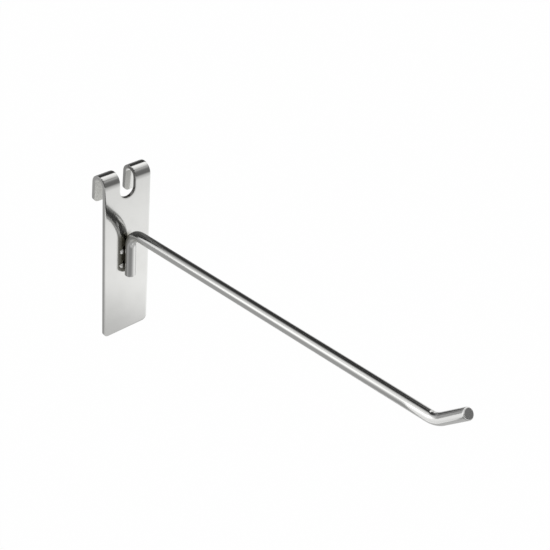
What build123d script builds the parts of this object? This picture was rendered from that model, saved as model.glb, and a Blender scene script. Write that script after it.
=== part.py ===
from build123d import *
import os
from math import cos, radians, sin

# Gridwall hook: a folded strip with two ears, and a bent wire welded to its front.
# Millimetres and degrees. +Z is up, the arm points towards -Y, and X runs across the strip.
# The origin is on the axis of the grid wire that the ears hang on, midway across the strip.

# The grid wire that the ears take
grid_wire_diameter = 6.35
seat_clearance = 0.4

# Back plate, with heights measured down from the top of the ears
sheet_thickness = 2.2
plate_width = 31.75
plate_height = 109.5
ear_height = 18.8
flange_lean = 3.0
notch_width = 10.6
notch_depth = 16.0
plate_corner_radius = 3.2
flange_corner_radius = 3.2
front_edge_radius = 0.5
rear_edge_chamfer = 0.2

# Hook wire, with lengths measured along its axis between the corners of the axis
wire_diameter = 6.35
corner_depth = 37.1
leg_length = 30.0
arm_length = 224.0
tip_length = 21.4
arm_rise = 5.0
tip_turn = 40.0
leg_bend_inside = 7.4
tip_bend_inside = 9.5
tip_edge_radius = 0.8
leg_edge_chamfer = 0.3

# Weld nuggets, which hold the leg a little off the plate
weld_gap = 0.3
weld_width = 10.0
weld_height = 3.6
weld_rise = 1.4
weld_crown_radius = 1.1
weld_end_distance = 5.6
weld_pitch = 9.8

# Sizes that follow from the ones above
seat_radius = grid_wire_diameter / 2 + seat_clearance
ear_radius = seat_radius + sheet_thickness
plate_front = -ear_radius
ear_width = (plate_width - notch_width) / 2
ear_top = ear_radius
plate_bottom = ear_top - plate_height
flange_bottom = ear_top - ear_height
flange_length = (ear_radius * sin(radians(flange_lean)) - flange_bottom) / cos(radians(flange_lean))
notch_bottom = ear_top - notch_depth
wire_radius = wire_diameter / 2
leg_y = plate_front - weld_gap - wire_radius
corner_z = ear_top - corner_depth
leg_bottom = corner_z - leg_length


def bend_point(radius, turn):
    """A point on the bend about the grid wire, so many degrees on from the plate, as (y, z)."""
    return Vector(-radius * cos(radians(turn)), radius * sin(radians(turn)))


def folded_strip():
    """The strip bent over into a J and cut to width, before its outline is trimmed.

    The bend stops short of a half turn, so that the flanges stand open a little towards their ends.
    """
    full_turn = 180 - flange_lean
    flange_step = Vector(sin(radians(flange_lean)), -cos(radians(flange_lean))) * flange_length
    outer, inner = [
        [bend_point(radius, turn) for turn in (0, full_turn / 2, full_turn)]
        for radius in (ear_radius, seat_radius)
    ]
    with BuildPart() as strip:
        with BuildSketch(Plane.YZ):
            with BuildLine():
                Line((-ear_radius, plate_bottom), outer[0])
                ThreePointArc(*outer)
                Line(outer[2], outer[2] + flange_step)
                Line(outer[2] + flange_step, inner[2] + flange_step)
                Line(inner[2] + flange_step, inner[2])
                ThreePointArc(*reversed(inner))
                Line(inner[0], (-seat_radius, plate_bottom))
                Line((-seat_radius, plate_bottom), (-ear_radius, plate_bottom))
            make_face()
        extrude(amount=plate_width / 2, both=True)
    return strip.part


def notch_cutter():
    """The slot that parts the ears: round-bottomed in the plate, and right through behind it."""
    radius = notch_width / 2
    round_z = notch_bottom + radius
    height = ear_top - round_z
    with BuildPart() as cutter:
        with BuildSketch(Plane.XZ):
            with Locations((0, round_z)):
                Circle(radius)
            with Locations((0, round_z + height)):
                Rectangle(notch_width, 2 * height)
        extrude(amount=2 * ear_radius)
        with BuildSketch(Plane.XZ):
            Rectangle(notch_width, 4 * ear_height)
        extrude(amount=-2 * ear_radius)
    return cutter.part


def outline_edges(strip, on_front):
    """The edges where the strip's outer or inner skin meets its cut edge.

    A flat face of a skin touches the bend's round, so it is one radius away from the grid wire's axis.
    The bend lines are left out: each of them lies between two faces of the same skin.
    """
    radius = ear_radius if on_front else seat_radius

    def on_skin(face):
        if face.geom_type == GeomType.CYLINDER:
            return abs(face.radius - radius) < 1e-6 and abs(face.axis_of_rotation.direction.X) > 0.9
        centre = face.center()
        normal = face.normal_at(centre)
        return abs(normal.Y) > 0.9 and abs(abs(normal.dot(centre)) - radius) < 1e-6

    skin = [edge for face in strip.faces().filter_by(on_skin) for edge in face.edges()]
    return ShapeList(edge for edge in skin if sum(edge.is_same(other) for other in skin) == 1)


def back_plate():
    strip = folded_strip() - notch_cutter()
    across = strip.edges().filter_by(Axis.Y)
    strip = fillet(across.filter_by_position(Axis.Z, plate_bottom, plate_bottom), plate_corner_radius)
    through_flange = Axis((0, 0, 0), (0, cos(radians(flange_lean)), sin(radians(flange_lean))))
    across = strip.edges().filter_by(through_flange, tolerance=0.1)
    corner = min(flange_corner_radius, 0.45 * ear_width)
    strip = fillet(across.filter_by_position(Axis.Y, seat_radius, 2 * ear_radius), corner)
    strip = fillet(outline_edges(strip, on_front=True), front_edge_radius)
    return chamfer(outline_edges(strip, on_front=False), rear_edge_chamfer)


def along(angle, distance):
    """A step in the plane of the wire, at an angle above the direction the arm points in."""
    return (0, -distance * cos(radians(angle)), distance * sin(radians(angle)))


def hook_wire():
    leg_end = Vector(0, leg_y, leg_bottom)
    leg_corner = Vector(0, leg_y, corner_z)
    tip_corner = leg_corner + Vector(*along(arm_rise, arm_length))
    tip_end = tip_corner + Vector(*along(arm_rise + tip_turn, tip_length))
    bends = [leg_bend_inside + wire_radius, tip_bend_inside + wire_radius]
    with BuildPart() as wire:
        with BuildLine():
            FilletPolyline(leg_end, leg_corner, tip_corner, tip_end, radius=bends)
        with BuildSketch(Plane(leg_end, x_dir=(1, 0, 0), z_dir=(0, 0, 1))):
            Circle(wire_radius)
        sweep()
        tip_face = wire.faces().sort_by_distance(tip_end)[0]
        fillet(tip_face.edges(), tip_edge_radius)
        leg_face = wire.faces().sort_by_distance(leg_end)[0]
        chamfer(leg_face.edges(), leg_edge_chamfer)
    return wire.part


def weld_nugget(height):
    """A low rounded bead on the plate's front, hollowed where the leg of the wire lies in it."""
    with BuildPart() as bead:
        with BuildSketch(Plane.XZ):
            SlotOverall(weld_width, weld_height)
        extrude(amount=weld_rise)
        crown = bead.faces().sort_by(Axis.Y)[0]
        fillet(crown.edges(), weld_crown_radius)
    leg = Cylinder(wire_radius, 2 * weld_height)
    return Pos(0, 0, height) * (Pos(0, plate_front, 0) * bead.part - Pos(0, leg_y, 0) * leg)


lower_weld_z = leg_bottom + weld_end_distance
nodes = {
    "back_plate": back_plate(),
    "hook_wire": hook_wire(),
    "weld_lower": weld_nugget(lower_weld_z),
    "weld_upper": weld_nugget(lower_weld_z + weld_pitch),
}

os.makedirs("parts", exist_ok=True)
for name, solid in nodes.items():
    solid.label = name
    export_step(solid, f"parts/{name}.step")
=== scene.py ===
"""Looks of the gridwall hook: a plated folded strip, a plated bent wire and two weld beads.

Everything is in metres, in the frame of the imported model: +Z is up, the arm points towards -Y,
X runs across the strip, and the origin is on the axis of the grid wire that the ears hang on.
"""
from math import cos, pi, radians, sin, tan

import bmesh
import bpy
import numpy as np
from mathutils import Matrix, Vector


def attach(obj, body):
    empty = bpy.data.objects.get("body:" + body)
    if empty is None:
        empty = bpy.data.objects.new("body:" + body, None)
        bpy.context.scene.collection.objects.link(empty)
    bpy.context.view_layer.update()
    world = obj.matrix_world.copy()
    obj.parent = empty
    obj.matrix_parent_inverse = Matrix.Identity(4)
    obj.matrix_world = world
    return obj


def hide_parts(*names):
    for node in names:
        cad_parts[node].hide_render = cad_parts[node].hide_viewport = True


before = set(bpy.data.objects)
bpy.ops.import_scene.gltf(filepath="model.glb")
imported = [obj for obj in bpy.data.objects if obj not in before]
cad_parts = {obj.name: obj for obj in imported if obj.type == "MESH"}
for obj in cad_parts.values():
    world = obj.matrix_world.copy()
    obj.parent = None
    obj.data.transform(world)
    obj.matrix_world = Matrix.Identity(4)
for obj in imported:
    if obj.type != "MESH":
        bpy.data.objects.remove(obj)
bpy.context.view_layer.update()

mm = 0.001

# Folded strip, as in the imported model
sheet_thickness = 2.2 * mm
ear_radius = 5.775 * mm
half_width = 15.875 * mm
notch_half = 5.3 * mm
plate_front = -ear_radius
plate_bottom = -103.725 * mm
flange_bottom = -13.025 * mm
flange_lean = radians(3)
notch_bottom = -10.225 * mm
corner_radius = 3.2 * mm

# The strip's small forms: where the bend sets in, and the rolled edge that cutting leaves
onset_length = 2.2 * mm
onset_turn = radians(6)
die_roll_width = 1.0 * mm
die_roll_depth = 0.06 * mm
front_roll = 0.16 * mm
rear_roll = 0.25 * mm

# Bent wire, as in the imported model, with a tip that is 0.02 mm shorter to stay inside the model's box
wire_radius = 3.175 * mm
leg_y = -9.25 * mm
corner_z = -31.325 * mm
leg_length = 30.0 * mm
arm_length = 224.0 * mm
tip_length = 21.38 * mm
leg_heading = radians(90)
arm_heading = radians(5)
tip_heading = radians(45)
leg_bend = 10.575 * mm
tip_bend = 12.675 * mm
tip_roll = 0.8 * mm
leg_roll = 0.3 * mm

# The mark that the bending tool leaves inside the tip's bend
mark_start = 0.7 * mm
mark_depth = 0.42 * mm
mark_fall = 1.8 * mm
mark_length = 6.0 * mm
mark_middle = radians(76)
mark_spread = radians(55)

# Weld beads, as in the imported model, and the lobe beside the leg on each side
weld_half_width = 5.0 * mm
weld_half_height = 1.8 * mm
weld_rise = 1.4 * mm
lobe_distance = 4.7 * mm
lobe_width = 0.8 * mm
# Where the weld's painted shade by the leg gives way to the lobes' painted glint
glint_start = 2.9 * mm
weld_heights = {"weld_lower": -55.725 * mm, "weld_upper": -45.925 * mm}

# Where painted shade darkens the plating beside the leg, and over what lengths that fades
leg_shade_middle = -2.0 * mm
leg_shade_half = 5.6 * mm
leg_shade_low = -59.5 * mm
leg_shade_high = -31.5 * mm
leg_shade_fade_low = 3.5 * mm
leg_shade_fade_high = 5.0 * mm
leg_shade_fade_inside = 2.4 * mm
leg_shade_fade_outside = 1.0 * mm
leg_shade_grain = 1.2 * mm

# Colours of the plating and of the bare steel, and of the painted shade and painted highlights
bright_strip = (0.875, 0.875, 0.855)
# Painted shade beside the leg: a brownish dark laid on the strip's plating
dull_strip = (0.56, 0.555, 0.54)
painted_shade_strip = (0.34, 0.33, 0.28)
punched_steel = (0.13, 0.125, 0.12)
bright_wire = (0.76, 0.76, 0.745)
dull_wire = (0.50, 0.495, 0.48)
cropped_wire = (0.92, 0.915, 0.9)
# Painted highlight colour of the rolled edge round the wire's faces
rim_highlight_colour = (0.95, 0.945, 0.93)
# Painted shade on the side of the leg that faces the plate
painted_shade_wire = (0.34, 0.33, 0.29)
# Weld colours: a pale painted glint on the lobes, the pits, and painted shade by the leg
glint_weld = (0.92, 0.92, 0.90)
pitted_weld = (0.45, 0.44, 0.42)
painted_shade_weld = (0.20, 0.195, 0.17)

# How far the bends cut into the straight runs of the wire, and what is left of the leg
leg_cut = leg_bend * tan((leg_heading - arm_heading) / 2)
tip_cut = tip_bend * tan((tip_heading - arm_heading) / 2)
leg_run = leg_length - leg_cut
leg_bottom = corner_z - leg_length


# Meshes from whole arrays

def grid_faces(rows, columns, first=0):
    """Corner numbers of the quads of a grid whose points are numbered row by row."""
    row, column = np.meshgrid(np.arange(rows - 1), np.arange(columns - 1), indexing="ij")
    start = (first + row * columns + column).reshape(-1, 1)
    return start + np.array([0, columns, columns + 1, 1])


def smooth_step(value):
    """0 up to 0, 1 from 1 on, and between them three times the square less twice the cube."""
    value = np.clip(value, 0, 1)
    return value * value * (3 - 2 * value)


def make_piece(name, points, faces, attributes, merge=1e-7):
    """A mesh object at the origin, with its doubled points merged and its faces turned outwards."""
    used, faces = np.unique(faces, return_inverse=True)
    mesh = bpy.data.meshes.new(name)
    mesh.from_pydata(points[used].tolist(), [], faces.reshape(-1, 4).tolist())
    for key, values in attributes.items():
        kind, field = ("FLOAT_VECTOR", "vector") if values.ndim == 2 else ("FLOAT", "value")
        layer = mesh.attributes.new(key, kind, "POINT")
        layer.data.foreach_set(field, values[used].astype(np.float32).ravel())
    shell = bmesh.new()
    shell.from_mesh(mesh)
    bmesh.ops.remove_doubles(shell, verts=shell.verts, dist=merge)
    bmesh.ops.dissolve_degenerate(shell, edges=shell.edges, dist=merge)
    bmesh.ops.recalc_face_normals(shell, faces=shell.faces)
    shell.to_mesh(mesh)
    shell.free()
    mesh.polygons.foreach_set("use_smooth", np.ones(len(mesh.polygons), bool))
    piece = bpy.data.objects.new(name, mesh)
    bpy.context.scene.collection.objects.link(piece)
    return piece


def arc(centre, radius, start, end, steps):
    """Points of a circle from one angle to another, and the unit arrows from its centre to them."""
    angle = np.radians(np.linspace(start, end, steps + 1))
    arrow = np.stack([np.cos(angle), np.sin(angle)], axis=1)
    return np.array(centre) + radius * arrow, arrow


# The folded strip

# The bend is a round from the onset's turn to the flange's lean. Its radius lets it end at the flange's
# place, and it is as high as the ears are.
onset_shift = onset_length * onset_turn / 2
bend_radius = (ear_radius * (1 + cos(flange_lean)) - onset_shift) / (cos(onset_turn) + cos(flange_lean))
bend_middle = ear_radius - bend_radius
bend_start = bend_middle + bend_radius * sin(onset_turn)
bend_end = bend_start + bend_radius * (pi - flange_lean - onset_turn)
flange_run = (bend_middle + bend_radius * sin(flange_lean) - flange_bottom) / cos(flange_lean)
blank_top = bend_end + flange_run
bend_top = bend_start + bend_radius * (pi / 2 - onset_turn)


def fold_line():
    """The outer skin's line from the plate's lower edge to the flange's end, by the blank's height h.

    Its turn is 0 on the plate, grows evenly over the onset, evenly again round the bend, and is then
    the flange's. Its place (y, z) is the running sum of the steps' sines and cosines.
    """
    knots = [plate_bottom, bend_start - onset_length, bend_start, bend_end, blank_top]
    turns = [0, 0, onset_turn, pi - flange_lean, pi - flange_lean]
    samples = 1200
    height = np.concatenate([np.linspace(low, high, samples) for low, high in zip(knots, knots[1:])])
    turn = np.interp(height, knots, turns)
    step = np.diff(height)
    middle = (turn[1:] + turn[:-1]) / 2
    y = plate_front + np.concatenate([[0], np.cumsum(step * np.sin(middle))])
    z = plate_bottom + np.concatenate([[0], np.cumsum(step * np.cos(middle))])
    return height, turn, y, z


def fold(x, h, depth):
    """Bends the blank: a point lies on the outer skin's line at h, moved inwards by its depth."""
    height, turn, y, z = fold_line()
    angle = np.interp(h, height, turn)
    across = np.interp(h, height, y) + depth * np.cos(angle)
    upright = np.interp(h, height, z) - depth * np.sin(angle)
    return np.stack([x, across, upright], axis=-1)


def rim_profile():
    """The strip's cut edge as (inset from the outline, depth from the outer skin).

    First the die roll, a parabola that sinks towards the edge; then a round from the die roll's slope
    to the upright; a straight land; and a quarter round to the inner skin.
    """
    share = np.linspace(0, 1, 9)
    slope = np.arctan(2 * die_roll_depth / die_roll_width)
    front = np.linspace(slope, pi / 2, 9)[1:]
    rear = np.linspace(0, pi / 2, 6)
    start = front_roll * (1 - sin(slope))
    land_start = die_roll_depth + front_roll * cos(slope)
    land = np.linspace(land_start, sheet_thickness - rear_roll, 5)[1:-1]
    inset = np.concatenate([start + die_roll_width * (1 - share), front_roll * (1 - np.sin(front)),
                            np.zeros_like(land), rear_roll * (1 - np.cos(rear))])
    depth = np.concatenate([die_roll_depth * share ** 2, land_start - front_roll * np.cos(front),
                            land, sheet_thickness - rear_roll * (1 - np.sin(rear))])
    return inset, depth


def blank_sides():
    """The two sides of the right half of the flat blank, station by station from its lower edge.

    A point of the blank is (x, h). The outer side is the strip's edge with a rounded corner at each end.
    The inner side is the middle line up to the notch, the notch's round, the notch's edge, and the
    flange's other corner. Each point has its outward arrow.
    """
    gap = 0.05 * mm
    corner_steps = 12
    notch_steps = 28
    rim_width = rim_profile()[0][0]
    round_height = notch_bottom + notch_half
    below_notch = notch_bottom - rim_width - gap
    corner_low = (half_width - corner_radius, plate_bottom + corner_radius)
    corner_high = (half_width - corner_radius, blank_top - corner_radius)
    corner_notch = (notch_half + corner_radius, blank_top - corner_radius)
    low, arrow_low = arc(corner_low, corner_radius, -90, 0, corner_steps)
    notch, arrow_notch = arc((0, round_height), notch_half, -90, 0, notch_steps)
    high, arrow_high = arc(corner_high, corner_radius, 0, 90, corner_steps)
    turn, arrow_turn = arc(corner_notch, corner_radius, 180, 90, corner_steps)
    plate = np.linspace(corner_low[1] + gap, below_notch, 14)
    rise = np.linspace(round_height + gap, bend_start - onset_length - gap, 3)
    onset = np.linspace(bend_start - onset_length, bend_start, 12)
    bend = np.linspace(bend_start, bend_end, 65)[1:]
    flange = np.linspace(bend_end + gap, blank_top - corner_radius - gap, 4)
    climb = np.concatenate([rise, onset, bend, flange])

    def straight(x, heights, side):
        return np.stack([np.full_like(heights, x), heights], 1), np.tile([side, 0.0], (len(heights), 1))

    beside_notch = notch[:, 1] + rim_width * arrow_notch[:, 1]
    inside_corner = low[1:, 1] - rim_width * arrow_low[1:, 1]
    edge = straight(half_width, np.concatenate([plate, beside_notch, climb]), 1.0)
    middle, middle_arrow = straight(0, np.concatenate([[plate_bottom], inside_corner, plate]), 0.0)
    middle_arrow[0] = (0, -1)
    outer = [(low, arrow_low), edge, (high, arrow_high)]
    inner = [(middle, middle_arrow), (notch, -arrow_notch), straight(notch_half, climb, -1.0),
             (turn, arrow_turn)]
    sides = [[np.concatenate(part) for part in zip(*side)] for side in (outer, inner)]
    return sides, len(middle)


def back_plate():
    """The folded strip as one closed surface of two parameters: the station along it and the way round it.

    Round a station the points run over the outer skin, round the outer rim, back over the inner skin and
    round the inner rim. Each is the inner side plus a share of the way to the outer side, both moved in by
    the rim's inset. The two ends are closed by the same formula over all shares and the whole rim. The
    left half is the right half's mirror image.
    """
    ((outer, outer_arrow), (inner, inner_arrow)), first_notch = blank_sides()
    inset, depth = rim_profile()
    margin = 0.004
    across = np.array([0, margin, 0.25, 0.5, 0.75, 1 - margin, 1])
    skin = np.ones_like(across)
    share = np.concatenate([across, np.ones(len(inset) - 2), across[::-1], np.zeros(len(inset) - 1)])
    moved = np.concatenate([inset[0] * skin, inset[1:-1], inset[-1] * skin, inset[-2::-1]])
    deep = np.concatenate([depth[0] * skin, depth[1:-1], depth[-1] * skin, depth[-2::-1]])
    rim_start = 2 * len(across) + len(inset) - 3

    def blank_points(station, share, moved):
        start = inner[station, None] - moved[..., None] * inner_arrow[station, None]
        end = outer[station, None] - moved[..., None] * outer_arrow[station, None]
        return start + share[..., None] * (end - start)

    rows, columns = len(outer), len(share)
    flat = blank_points(np.arange(rows), share[None], moved[None])
    walls = grid_faces(rows, columns).reshape(rows - 1, columns - 1, 4)
    no_rim = (np.arange(rows - 1) < first_notch)[:, None] & (np.arange(columns - 1) >= rim_start)[None]
    inner_rim = (np.arange(rows) >= first_notch)[:, None] & (np.arange(columns) >= rim_start)[None]

    cap_share, cap_moved = (part.ravel() for part in np.meshgrid(across, inset, indexing="ij"))
    caps = [blank_points(np.array([end]), cap_share[None], cap_moved[None])[0] for end in (0, rows - 1)]
    cap_deep = np.tile(depth, len(across))
    cap_starts = (rows * columns, rows * columns + len(cap_share))
    cap_faces = [grid_faces(len(across), len(inset), start) for start in cap_starts]
    blank = np.concatenate([flat.reshape(-1, 2), *caps])
    deep = np.concatenate([np.tile(deep, rows), cap_deep, cap_deep])
    punched = np.concatenate([inner_rim.ravel(), np.zeros(2 * len(cap_share), bool)])
    quads = np.concatenate([walls[~no_rim], *cap_faces])

    right = fold(blank[:, 0], blank[:, 1], deep)
    skin_depth = 0.1 * mm
    on_land = (deep > die_roll_depth + skin_depth) & (deep < sheet_thickness - skin_depth)
    flat_place = np.column_stack([blank, deep])
    mirror = [-1, 1, 1]
    points = np.concatenate([right, right * mirror])
    return make_piece("folded_strip", points, np.concatenate([quads, quads + len(right)]), {
        "blank": np.concatenate([flat_place, flat_place * mirror]),
        "cut": np.tile(on_land.astype(float), 2),
        "punched": np.tile((on_land & punched).astype(float), 2)})


# The bent wire

def wire_path():
    """Points and headings along the wire's axis: straight runs joined by arcs of a circle.

    A heading is the angle above the -Y direction. On an arc the axis turns evenly about a centre that
    lies one bend radius to the side; a run goes straight on from where the arc ends.
    """
    def ahead(heading):
        return np.stack([-np.cos(heading), np.sin(heading)], axis=-1)

    def run(start, heading, length, steps):
        far = np.linspace(0, length, steps + 1)[:, None]
        return start + far * ahead(heading), np.full(steps + 1, heading)

    def bend(start, heading, end, radius, steps):
        headings = np.linspace(heading, end, steps + 1)
        side = np.sign(end - heading)
        centre = start + radius * ahead(heading + side * pi / 2)
        return centre - radius * ahead(headings + side * pi / 2), headings

    pieces = [run(np.array([leg_y, leg_bottom]), leg_heading, leg_run, 12)]
    for shape, *values in ((bend, leg_heading, arm_heading, leg_bend, 56),
                           (run, arm_heading, arm_length - leg_cut - tip_cut, 60),
                           (bend, arm_heading, tip_heading, tip_bend, 48),
                           (run, tip_heading, tip_length - tip_cut, 10)):
        pieces.append(tuple(part[1:] for part in shape(pieces[-1][0][-1], *values)))
    return (np.concatenate(part) for part in zip(*pieces))


def tool_mark(along, angle):
    """How deep the bending tool's mark is: it falls sharply, rises again slowly, and fades to the sides.

    The fall and the rise are smooth steps along the wire; the fading is a smooth step of the angle from
    the mark's middle.
    """
    fall = smooth_step(along / mark_fall)
    rise = smooth_step((along - mark_fall) / (mark_length - mark_fall))
    aside = smooth_step(1 - np.abs(angle - mark_middle) / mark_spread)
    return mark_depth * (fall - rise) * aside


def hook_wire():
    """A round profile carried along the wire's axis, drawn in to a point at both ends over a rolled edge.

    At an end the ring's radius is the wire's less the roll's, plus the roll's times a cosine, while the
    ring moves out by the roll's radius times a sine; then flat rings close the face down to its centre.
    The share of painted highlight on the rolled edge is the sine of twice the roll's angle, and is largest
    on the upper side.
    """
    axis, headings = wire_path()
    length = np.concatenate([[0], np.cumsum(np.hypot(*np.diff(axis, axis=0).T))])
    whole = length[-1]
    tip_start = whole - (tip_length - tip_cut) - tip_bend * (tip_heading - arm_heading)

    def end_rings(roll):
        turn = np.linspace(0, pi / 2, 9)
        flat = np.array([0.985, 0.7, 0.4, 0.15, 0])
        ring = np.concatenate([wire_radius - roll + roll * np.cos(turn), (wire_radius - roll) * flat])
        inward = np.concatenate([roll - roll * np.sin(turn), np.zeros_like(flat)])
        roll_highlight = np.concatenate([np.sin(2 * turn), np.zeros_like(flat)])
        return inward, ring, roll_highlight

    leg_in, leg_ring, leg_highlight = end_rings(leg_roll)
    tip_in, tip_ring, tip_highlight = end_rings(tip_roll)
    between = length[(length > leg_roll * 1.2) & (length < whole - tip_roll * 1.1)]
    place = np.concatenate([leg_in[::-1], between, whole - tip_in])
    radius = np.concatenate([leg_ring[::-1], np.full(len(between), wire_radius), tip_ring])
    centre = np.stack([np.interp(place, length, axis[:, 0]), np.interp(place, length, axis[:, 1])], 1)
    heading = np.interp(place, length, headings)

    angle = np.linspace(0, 2 * pi, 121)
    reach = radius[:, None] - tool_mark(place[:, None] - tip_start - mark_start, angle[None])
    side = reach * np.cos(angle)
    up = reach * np.sin(angle)
    points = np.stack([side, centre[:, :1] + up * np.sin(heading)[:, None],
                       centre[:, 1:] + up * np.cos(heading)[:, None]], axis=-1)
    rod = np.stack([side, up, np.broadcast_to(place[:, None], side.shape)], axis=-1)
    face = np.broadcast_to((radius < wire_radius - 0.02 * mm)[:, None], side.shape)
    # Painted highlight on the rolled edges: its share along each end, weighted towards the upper side
    rolled = np.concatenate([leg_highlight[::-1], np.zeros(len(between)), tip_highlight])
    below, above, shift = 0.2, 0.7, 0.3
    rolled = rolled[:, None] * (below + above * smooth_step(np.sin(angle) + shift))
    return make_piece("bent_wire", points.reshape(-1, 3), grid_faces(len(place), len(angle)), {
        "rod": rod.reshape(-1, 3), "cut": face.astype(float).ravel(), "rolled": rolled.ravel()})


# The weld beads

def weld_bead(name, height, seed):
    """A low dome on the plate: a flattened oval that shrinks as it rises, with ripples and a wavy edge.

    Going up, the oval shrinks as a power of a cosine while the height grows as a power of a sine. A slow
    and a quick wave round the edge widen the oval by a few hundredths of its size, and ripples lift it by
    a few hundredths of a millimetre. On each side of the leg it swells into a lobe, a bell curve of the
    distance across.
    """
    slow_wave, quick_wave = 0.05, 0.03
    ripple_height = 0.03 * mm
    shrink_power, lift_power, squareness = 0.7, 0.8, 0.75
    middle_share, lobe_share = 0.5, 0.45
    sunk_depth = 0.1 * mm
    climb = np.linspace(0, pi / 2, 41)
    round_angle = np.linspace(0, 2 * pi, 97)
    rise, angle = np.meshgrid(climb, round_angle, indexing="ij")
    wave = 1 + slow_wave * np.sin(3 * angle + seed) + quick_wave * np.sin(7 * angle + 2 * seed)
    spread = np.cos(rise) ** shrink_power * wave
    across = np.sign(np.cos(angle)) * np.abs(np.cos(angle)) ** squareness
    upright = np.sign(np.sin(angle)) * np.abs(np.sin(angle)) ** squareness
    ripple = ripple_height * np.sin(9 * rise + 2 * np.cos(angle)) * np.sin(2 * rise)
    place = weld_half_width * across * spread
    lobe = np.exp(-((np.abs(place) - lobe_distance) / lobe_width) ** 2)
    lift = weld_rise * np.sin(rise) ** lift_power * (middle_share + lobe_share * lobe) + ripple
    dome = np.stack([place, plate_front - lift, height + weld_half_height * upright * spread], axis=-1)
    sunk = plate_front + sunk_depth
    base = dome[0] * [1, 0, 1] + [0, sunk, 0]
    foot = np.broadcast_to([0, sunk, height], base.shape)
    points = np.concatenate([foot[None], base[None], dome]).reshape(-1, 3)
    return make_piece(name + "_bead", points, grid_faces(len(climb) + 2, len(round_angle)), {})


# Shader expressions

class Signal:
    """A node's output in an expression: each operator adds a Math node to the same tree."""

    def __init__(self, tree, socket=None):
        self.tree = tree
        self.socket = socket

    def node(self, kind, settings=None, output=0, **inputs):
        """Adds a node: its settings first, then the values or links of its input sockets.

        An input is named as on the node, with _ for a space, or by its number after an i.
        """
        made = self.tree.nodes.new(kind)
        for name, value in (settings or {}).items():
            setattr(made, name, value)
        for name, value in inputs.items():
            label = name.replace("_", " ")
            socket = made.inputs[label if label in made.inputs else int(name[1:])]
            if isinstance(value, Signal):
                self.tree.links.new(value.socket, socket)
            else:
                socket.default_value = value
        return Signal(self.tree, made.outputs[output] if made.outputs else None)

    def math(self, operation, first, second):
        return self.node("ShaderNodeMath", {"operation": operation}, i0=first, i1=second)

    def __add__(self, other):
        return self.math("ADD", self, other)

    def __sub__(self, other):
        return self.math("SUBTRACT", self, other)

    def __rsub__(self, other):
        return self.math("SUBTRACT", other, self)

    def __mul__(self, other):
        return self.math("MULTIPLY", self, other)

    __radd__ = __add__
    __rmul__ = __mul__


def new_finish(name):
    """An empty node material, and the signal that nodes are added through."""
    finish = bpy.data.materials.new(name)
    finish.use_nodes = True
    finish.node_tree.nodes.clear()
    return finish, Signal(finish.node_tree)


def attribute(shader, name, output):
    """One of the mesh's own attributes, as a vector or as a number."""
    return shader.node("ShaderNodeAttribute", {"attribute_name": name}, output)


def noise(shader, vector, scale, detail=2.0, stretch=(1, 1, 1)):
    """Noise from 0 to 1 over a vector that is first stretched along its axes."""
    placed = shader.node("ShaderNodeMapping", {"vector_type": "POINT"}, Vector=vector, Scale=stretch)
    return shader.node("ShaderNodeTexNoise", Vector=placed, Scale=scale, Detail=detail)


def coordinates(shader, vector, axes):
    """The coordinates of a vector along the axes that are named, as numbers."""
    return [shader.node("ShaderNodeSeparateXYZ", None, axis, Vector=vector) for axis in axes]


def ramp(shader, value, low, high):
    """A smooth step from 0 at the low value to 1 at the high value."""
    smooth = {"interpolation_type": "SMOOTHSTEP"}
    return shader.node("ShaderNodeMapRange", smooth, Value=value, From_Min=low, From_Max=high)


def blend_colours(shader, factor, first, second):
    """The first colour where the factor is 0, the second where it is 1; either may be a signal."""
    first, second = (tone if isinstance(tone, Signal) else (*tone, 1) for tone in (first, second))
    return shader.node("ShaderNodeMix", {"data_type": "RGBA"}, 2, i0=factor, i6=first, i7=second)


def plated(shader, base, roughness, height, depth, metallic=1.0):
    """A plated metal surface: its colour, roughness and small relief, and how much of it is bare metal."""
    relief = shader.node("ShaderNodeBump", Strength=1.0, Distance=depth, Height=height)
    metal = shader.node("ShaderNodeBsdfPrincipled", Base_Color=base, Metallic=metallic,
                        Roughness=roughness, Normal=relief)
    shader.node("ShaderNodeOutputMaterial", Surface=metal)


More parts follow.
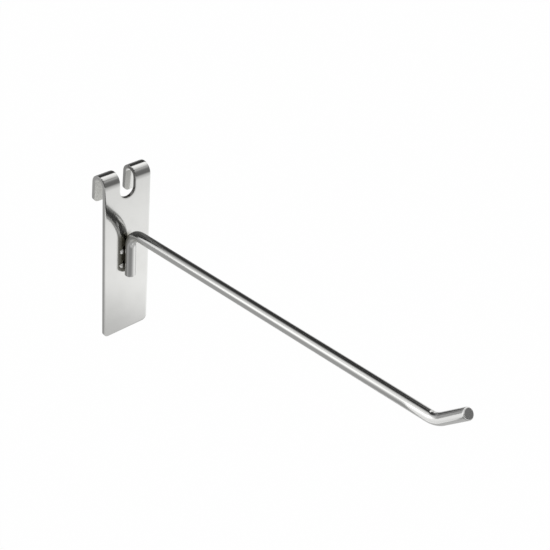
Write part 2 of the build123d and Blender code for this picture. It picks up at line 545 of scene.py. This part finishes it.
def strip_finish():
    """Bright plating on rolled strip: faint rolling lines and clouds, duller edges, a dark punched notch.

    The notch's edge is darkest on the plate and lighter behind the bend's top. Beside the leg it is painted
    dull
    and brownish: painted shade for the shade between the leg and the plate and for the leg's dark
    reflection.
    """
    finish, shader = new_finish("plated_strip")
    blank = attribute(shader, "blank", "Vector")
    cut = attribute(shader, "cut", "Fac")
    notched = attribute(shader, "punched", "Fac")
    lines = noise(shader, blank, 1.0, 3.0, (5200, 60, 5200))
    clouds = noise(shader, blank, 70.0, 3.0)
    grains = noise(shader, blank, 2600.0, 1.0)
    shear = noise(shader, blank, 1.0, 2.0, (1300, 1300, 260))

    across, height, deep = coordinates(shader, blank, "XYZ")
    aside = shader.math("ABSOLUTE", across - leg_shade_middle, 0.0) + grains * leg_shade_grain
    on_front = 1 - ramp(shader, deep, 0.2 * mm, 0.6 * mm)
    above_end = ramp(shader, height, leg_shade_low, leg_shade_low + leg_shade_fade_low)
    below_bend = 1 - ramp(shader, height, leg_shade_high - leg_shade_fade_high, leg_shade_high)
    beside_leg = 1 - ramp(shader, aside, leg_shade_half - leg_shade_fade_inside, leg_shade_half + leg_shade_fade_outside)
    # Painted shade beside the leg, for the shade between leg and plate and the leg's dark reflection
    leg_shade = on_front * above_end * below_bend * beside_leg
    punched = notched * (1 - 0.6 * ramp(shader, height, bend_top - 2 * mm, bend_top + 5 * mm))

    dull = ramp(shader, clouds, 0.42, 0.72) * 0.10 + cut * (0.34 + shear * 0.2)
    bright = blend_colours(shader, dull, bright_strip, dull_strip)
    shaded = blend_colours(shader, leg_shade * 0.9, bright, painted_shade_strip)
    base = blend_colours(shader, punched * (0.65 + shear * 0.35), shaded, punched_steel)
    roughness = 0.09 + clouds * 0.03 + lines * 0.03 + cut * 0.06 + leg_shade * 0.03
    plated(shader, base, roughness, lines * 0.5 + grains * 0.2 + punched * shear * 30.0, 0.0012 * mm)
    return finish


def wire_finish():
    """Bright plating on drawn wire: fine draw lines along it, and a cropped face with shear marks.

    The rolled edge round a face is pale and half matt, most of all on its upper side: a painted highlight.
    The side of the leg that faces the plate is darkened brown: painted shade between the leg and the plate.
    """
    finish, shader = new_finish("plated_wire")
    rod = attribute(shader, "rod", "Vector")
    cut = attribute(shader, "cut", "Fac")
    rolled = attribute(shader, "rolled", "Fac")
    lines = noise(shader, rod, 1.0, 3.0, (2600, 2600, 16))
    clouds = noise(shader, rod, 60.0, 3.0)
    shear = noise(shader, rod, 1.0, 2.0, (700, 3000, 700))
    facing, along = coordinates(shader, rod, "YZ")
    on_leg = 1 - ramp(shader, along, leg_run, leg_run + 6 * mm)
    # Painted shade on the side of the leg that faces the plate, down the leg only
    leg_back_shade = ramp(shader, facing, 0.0, 2.4 * mm) * on_leg

    dull = ramp(shader, clouds, 0.4, 0.75) * 0.08 + ramp(shader, lines, 0.5, 0.8) * 0.10 + cut * shear * 0.2
    bright = blend_colours(shader, dull, bright_wire, dull_wire)
    cropped = blend_colours(shader, cut * 0.8, bright, cropped_wire)
    # Painted highlight: the rolled edge is pale and half matt, so it lights up
    highlighted = blend_colours(shader, rolled, cropped, rim_highlight_colour)
    base = blend_colours(shader, leg_back_shade * 0.8, highlighted, painted_shade_wire)
    roughness = 0.10 + clouds * 0.03 + lines * 0.04 + cut * 0.14
    plated(shader, base, roughness, lines * 0.5 + cut * shear * 20.0, 0.0005 * mm, 1 - rolled * 0.7)
    return finish


def weld_finish():
    """Plated weld metal with a few pits and a ropy skin: pale half matt lobes, a painted glint; painted
    shade at the leg.
    """
    finish, shader = new_finish("plated_weld")
    place = shader.node("ShaderNodeTexCoord", output="Object")
    skin = noise(shader, place, 1500.0, 4.0)
    pits = ramp(shader, noise(shader, place, 3800.0, 1.0), 0.62, 0.75)
    (across,) = coordinates(shader, place, "X")
    # Near the leg the weld is dark, painted shade between leg and plate; the lobes are pale and half matt,
    # a painted glint
    lobe = ramp(shader, shader.math("ABSOLUTE", across, 0.0), glint_start, glint_start + 0.6 * mm)
    pale = blend_colours(shader, pits * 0.4 + skin * 0.1, glint_weld, pitted_weld)
    base = blend_colours(shader, lobe, painted_shade_weld, pale)
    plated(shader, base, 0.22 + skin * 0.14, skin * 4.0 - pits * 3.0, 0.004 * mm, 1 - lobe * 0.65)
    return finish


# Stage: floor, white surround, soft boxes and the dark cards that show only in the metal

floor_height = -0.42
floor_radius = 6
arm_middle = (0, -0.12, -0.03)
tip_middle = (0, -0.2425, -0.001)


def towards(azimuth, elevation):
    """The unit arrow at an azimuth, from -Y round to +X, and an elevation, both in degrees."""
    across, up = np.radians(azimuth), np.radians(elevation)
    return np.stack([np.sin(across) * np.cos(up), -np.cos(across) * np.cos(up), np.sin(up)], axis=-1)


def pale_floor():
    """A wide pale disc, seen white straight on and in the metal, which keeps a soft shadow."""
    rings, spokes = 13, 65
    radii, angles = np.linspace(0, floor_radius, rings), np.linspace(0, 2 * pi, spokes)
    ring, angle = np.meshgrid(radii, angles, indexing="ij")
    points = np.stack([ring * np.cos(angle), ring * np.sin(angle), np.full_like(ring, floor_height)], -1)
    floor = make_piece("floor", points.reshape(-1, 3), grid_faces(rings, spokes)[:, ::-1], {})
    finish, shader = new_finish("pale_floor")
    rays = [shader.node("ShaderNodeLightPath", output=ray)
            for ray in ("Is Camera Ray", "Is Glossy Ray", "Is Transmission Ray")]
    seen = shader.math("MINIMUM", rays[0] + rays[1] + rays[2], 1.0)
    matt = shader.node("ShaderNodeBsdfDiffuse", Color=(0.88, 0.88, 0.88, 1))
    white = shader.node("ShaderNodeEmission", Color=(1, 1, 1, 1), Strength=1.0)
    mixed = shader.node("ShaderNodeMixShader", i0=seen * 0.96, i1=matt, i2=white)
    shader.node("ShaderNodeOutputMaterial", Surface=mixed)
    floor.data.materials.append(finish)


def card(name, azimuths, elevations, soft, shade, distance, lift=0.0, lean=0.0):
    """A soft-edged card: a patch of a sphere round the arm's middle, between two azimuths and elevations.

    Its cover is 1 inside and falls to 0 at each of its four edges over that edge's soft width, as the
    product of four smooth steps, for the first and last azimuth and the lowest and highest elevation. The
    lift raises it by so many degrees for each degree of azimuth from
    its middle, and the lean turns it likewise with the elevation. It shows in the metal only.
    """
    steps = 61
    across, upward = np.linspace(*azimuths, steps), np.linspace(*elevations, steps)
    azimuth, elevation = np.meshgrid(across, upward, indexing="ij")
    inside = (azimuth - azimuths[0], azimuths[1] - azimuth,
              elevation - elevations[0], elevations[1] - elevation)
    cover = np.prod([smooth_step(far / width) for far, width in zip(inside, soft)], axis=0)
    turned = azimuth + lean * (elevation - np.mean(elevations))
    raised = np.maximum(elevation + lift * (azimuth - np.mean(azimuths)), -90)
    points = np.array(arm_middle) + distance * towards(turned, raised)
    piece = make_piece(name, points.reshape(-1, 3), grid_faces(steps, steps), {"cover": cover.ravel()})
    finish, shader = new_finish(name)
    shown = attribute(shader, "cover", "Fac")
    paint = shader.node("ShaderNodeEmission", Color=(shade, shade, shade, 1), Strength=1.0)
    clear = shader.node("ShaderNodeBsdfTransparent")
    mixed = shader.node("ShaderNodeMixShader", i0=shown, i1=clear, i2=paint)
    shader.node("ShaderNodeOutputMaterial", Surface=mixed)
    piece.data.materials.append(finish)
    for kind in ("camera", "diffuse", "transmission", "volume_scatter", "shadow"):
        setattr(piece, "visible_" + kind, False)


def soft_box(name, azimuth, elevation, distance, size, brightness, centre=arm_middle):
    """A square area lamp that faces a point; its watts are its brightness times its area times pi."""
    lamp = bpy.data.lights.new(name, "AREA")
    lamp.shape = "RECTANGLE"
    lamp.size, lamp.size_y = size
    lamp.energy = brightness * pi * size[0] * size[1]
    box = bpy.data.objects.new(name, lamp)
    arrow = Vector(towards(azimuth, elevation))
    box.location = Vector(centre) + distance * arrow
    box.rotation_euler = arrow.to_track_quat("Z", "Y").to_euler()
    box.visible_camera = False
    bpy.context.scene.collection.objects.link(box)


def white_surround():
    """A plain white world, at the strength at which white is white."""
    world = bpy.data.worlds.new("white_surround")
    world.use_nodes = True
    world.node_tree.nodes.clear()
    shader = Signal(world.node_tree)
    sky = shader.node("ShaderNodeBackground", Color=(1, 1, 1, 1), Strength=1.0)
    shader.node("ShaderNodeOutputWorld", Surface=sky)
    bpy.context.scene.world = world


def studio():
    """The stage: white all round, two soft boxes, and the cards that give the metal its darks."""
    white_surround()
    pale_floor()
    soft_box("left_soft_box", azimuth=-125, elevation=18, distance=1.6,
             size=(0.75, 0.6), brightness=0.42)
    soft_box("tip_soft_box", azimuth=-130, elevation=-28, distance=0.045,
             size=(0.026, 0.06), brightness=0.6, centre=tip_middle)
    far = 2.4
    near = 0.36
    card("rear_card", azimuths=(110, 232), elevations=(-30, 46), soft=(12, 62, 48, 10),
         shade=0.04, distance=far)
    card("rear_low_card", azimuths=(120, 222), elevations=(-30, 6), soft=(25, 40, 12, 10),
         shade=0.04, distance=near + 0.04)
    card("rear_wing", azimuths=(133, 235), elevations=(20, 89), soft=(8, 66, 10, 12),
         shade=0.04, distance=far, lean=0.8)
    card("camera_card", azimuths=(-128, 45), elevations=(-20, 84), soft=(40, 30, 20, 22),
         shade=0.05, distance=far)
    card("crown_card", azimuths=(-150, 70), elevations=(43, 89), soft=(30, 25, 12, 2),
         shade=0.05, distance=far - 0.05)
    card("zenith_card", azimuths=(-180, 180), elevations=(60, 89), soft=(1, 1, 10, 1),
         shade=0.05, distance=far - 0.1)
    card("front_right_card", azimuths=(-30, 117), elevations=(-42, 80), soft=(30, 50, 37, 56),
         shade=0.165, distance=far)
    card("front_low_card", azimuths=(10, 100), elevations=(-38, 6), soft=(30, 30, 36, 10),
         shade=0.165, distance=near + 0.03)
    card("left_ground_card", azimuths=(-205, -60), elevations=(-89, 13), soft=(30, 30, 2, 22),
         shade=0.40, distance=near, lift=-0.3)
    card("rear_ground_card", azimuths=(100, 175), elevations=(-89, -8), soft=(20, 40, 2, 20),
         shade=0.42, distance=near + 0.02)
    card("front_ground_card", azimuths=(-115, 96), elevations=(-66, 0), soft=(40, 120, 18, 25),
         shade=0.27, distance=near - 0.02, lean=0.75)
    card("ground_card", azimuths=(-120, 130), elevations=(-89, -48), soft=(30, 30, 1, 10),
         shade=0.55, distance=near - 0.01)


# Camera

photo_size = 550
focal_pixels = 1136.08
camera_azimuth = radians(-47.209)
camera_elevation = radians(35.522)
camera_roll = radians(6.415)
aim_point = Vector((0, plate_front, corner_z))
aim_pixel = (127.227, 228.854)
aim_depth = 0.648227


def photo_camera():
    """The photograph's camera: turned, raised and rolled, with the aim point on its pixel."""
    outward = cos(camera_elevation)
    back = Vector((sin(camera_azimuth) * outward, -cos(camera_azimuth) * outward, sin(camera_elevation)))
    level = Vector((cos(camera_azimuth), sin(camera_azimuth), 0))
    upright = back.cross(level)
    right = cos(camera_roll) * level + sin(camera_roll) * upright
    up = cos(camera_roll) * upright - sin(camera_roll) * level
    sideways = (aim_pixel[0] - photo_size / 2) / focal_pixels * aim_depth
    upwards = (photo_size / 2 - aim_pixel[1]) / focal_pixels * aim_depth
    place = aim_point - sideways * right - upwards * up + aim_depth * back
    lens = bpy.data.cameras.new("photo_camera")
    lens.sensor_width = 36.0
    lens.sensor_fit = "HORIZONTAL"
    lens.lens = focal_pixels / photo_size * lens.sensor_width
    lens.clip_start = 0.01
    camera = bpy.data.objects.new("photo_camera", lens)
    camera.matrix_world = Matrix.Translation(place) @ Matrix((right, up, back)).transposed().to_4x4()
    bpy.context.scene.collection.objects.link(camera)
    bpy.context.scene.camera = camera


def dress(piece, finish, node):
    """Gives a piece its finish, and puts it in the place of its node on the hook's one body."""
    piece.data.materials.append(finish)
    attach(piece, "root")
    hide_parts(node)


dress(back_plate(), strip_finish(), "back_plate")
dress(hook_wire(), wire_finish(), "hook_wire")
weld_metal = weld_finish()
for seed, (node, height) in enumerate(weld_heights.items()):
    dress(weld_bead(node, height, seed), weld_metal, node)

studio()
photo_camera()
bpy.context.scene.view_settings.view_transform = "Standard"
